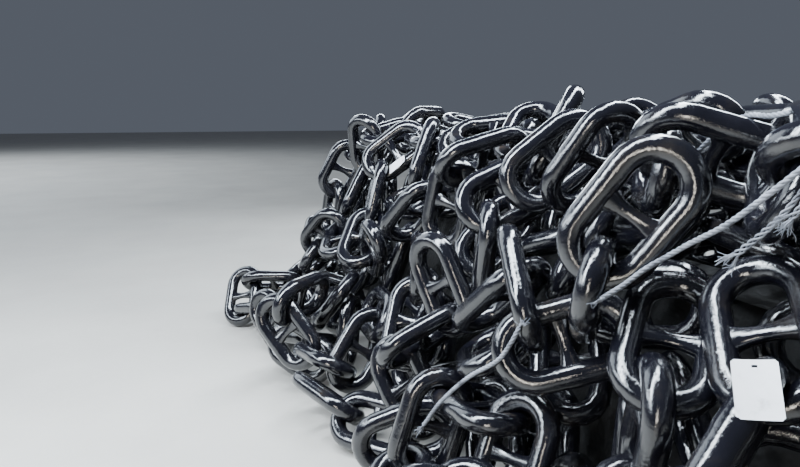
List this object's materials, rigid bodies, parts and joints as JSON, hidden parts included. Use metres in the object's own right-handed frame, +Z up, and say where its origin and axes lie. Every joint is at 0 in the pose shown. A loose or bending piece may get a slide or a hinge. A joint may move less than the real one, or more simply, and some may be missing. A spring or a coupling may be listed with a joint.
{
  "type": "heap of anchor chain",
  "caption": "Heap of black painted studded anchor chain with its lifting ropes, a tie wire and blank tags, as it lies on a floor.",
  "frame": {"origin": "middle of the heap's underside, on the floor", "axes": "+Y along the ridge of the heap, away from its near end; +X across it, away from the side that shows best; +Z up"},
  "size_m": [2.9981, 5.974, 1.6939],
  "materials": {
    "paint": "glossy",
    "hidden": "satin",
    "rope": "matte",
    "wire": "satin",
    "tag": "matte"
  },
  "bodies": {
    "root": {"core": "hidden", "chain_run_01": "paint", "chain_run_02": "paint", "chain_run_03": "paint", "chain_run_04": "paint", "chain_run_05": "paint", "chain_run_06": "paint", "chain_run_07": "paint", "chain_run_08": "paint", "chain_run_09": "paint", "chain_run_10": "paint", "chain_run_11": "paint", "chain_run_12": "paint", "chain_run_13": "paint", "chain_run_14": "paint", "chain_run_15": "paint", "chain_run_16": "paint", "chain_run_17": "paint", "chain_run_18": "paint", "chain_run_19": "paint", "chain_run_20": "paint", "chain_run_21": "paint", "chain_run_22": "paint", "rope_long": "rope", "rope_crest": "rope", "rope_low": "rope", "wire_far_tag": "wire", "tag_far": "tag", "tag_lower": "tag", "tag_upper": "tag"}
  },
  "joints": []
}
